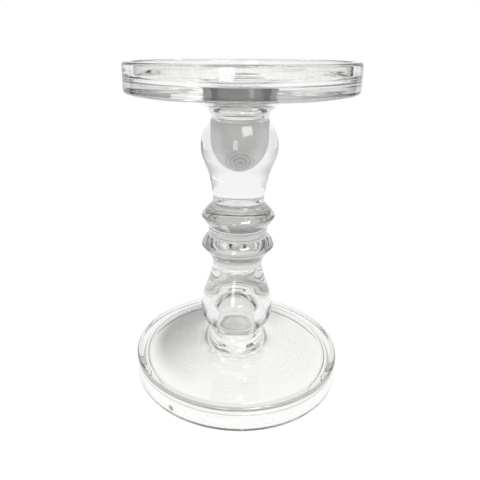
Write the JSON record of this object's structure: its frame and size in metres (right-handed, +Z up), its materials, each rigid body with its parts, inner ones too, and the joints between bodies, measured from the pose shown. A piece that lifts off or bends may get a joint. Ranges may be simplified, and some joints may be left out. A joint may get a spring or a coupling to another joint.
{
  "type": "glass candle holder",
  "caption": "Clear glass candle holder with a rimmed dish at each end of a turned stem, standing on the lower dish's rim; a pillar stands in the upper dish and a taper fits the socket.",
  "frame": {"origin": "on the stem's axis, at the level of the lower dish's rim that the holder stands on", "axes": "+Z up along the stem; the holder is round, so +X and +Y are any two directions square to it"},
  "size_m": [0.127, 0.127, 0.1901],
  "materials": {
    "dish_glass": "clear pressed glass, fire polished, with light wear and dust on the rims",
    "stem_glass": "clear solid glass, fire polished, faintly wavy from hot working"
  },
  "bodies": {
    "root": {"top_dish": "dish_glass", "top_collar": "stem_glass", "upper_bulb": "stem_glass", "upper_ring": "stem_glass", "waist_spool": "stem_glass", "lower_ring": "stem_glass", "lower_bulb": "stem_glass", "base_collar": "stem_glass", "base_dish": "dish_glass"}
  },
  "joints": []
}
